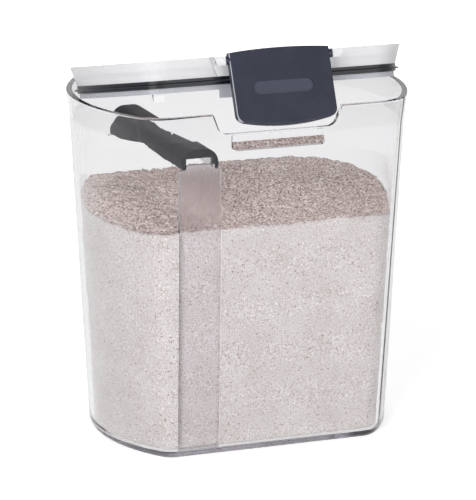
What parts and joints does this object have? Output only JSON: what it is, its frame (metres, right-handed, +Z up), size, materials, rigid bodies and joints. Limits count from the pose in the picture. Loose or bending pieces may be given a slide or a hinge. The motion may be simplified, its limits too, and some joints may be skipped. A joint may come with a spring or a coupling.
{
  "type": "flour keeper",
  "caption": "Clear drafted food keeper for flour, with a back-hinged drop-in lid, a sealing gasket, a front latch and a levelling bar across the inside.",
  "frame": {"origin": "middle of the base, on the surface that the keeper stands on", "axes": "+Z up; the front, with the latch, faces -Y; the width runs along X and the hinge axis is parallel to X"},
  "size_m": [0.2048, 0.1691, 0.2474],
  "materials": {
    "clear_tub": "gloss",
    "clear_lid": "gloss",
    "gasket": "satin",
    "latch": "satin",
    "leveler_grip": "satin",
    "leveler_blade": "satin",
    "flour": "matte"
  },
  "bodies": {
    "tub": {"container_body": "clear_tub", "flour_fill": "flour", "hinge_pin": "clear_lid"},
    "lid": {"lid_shell": "clear_lid", "gasket": "gasket", "lid_inner_panel": "clear_lid", "latch_pin": "clear_lid"},
    "latch": {"latch": "latch"},
    "leveler": {"leveler_grip": "leveler_grip", "leveler_blade": "leveler_blade"}
  },
  "joints": [
    {"name": "lid_hinge", "type": "hinge", "parent": "tub", "child": "lid", "pos_m": [0, 0.077, 0.204], "axis": [-1, 0, 0], "range_deg": [-12.1, 85]},
    {"name": "latch_hinge", "type": "hinge", "parent": "lid", "child": "latch", "pos_m": [0, -0.06986, 0.24162], "axis": [-1, 0, 0], "range_deg": [-11.4, 80]},
    {"name": "leveler_lift", "type": "slide", "parent": "tub", "child": "leveler", "axis": [0, 0, 1], "range_m": [0, 0.003]}
  ]
}
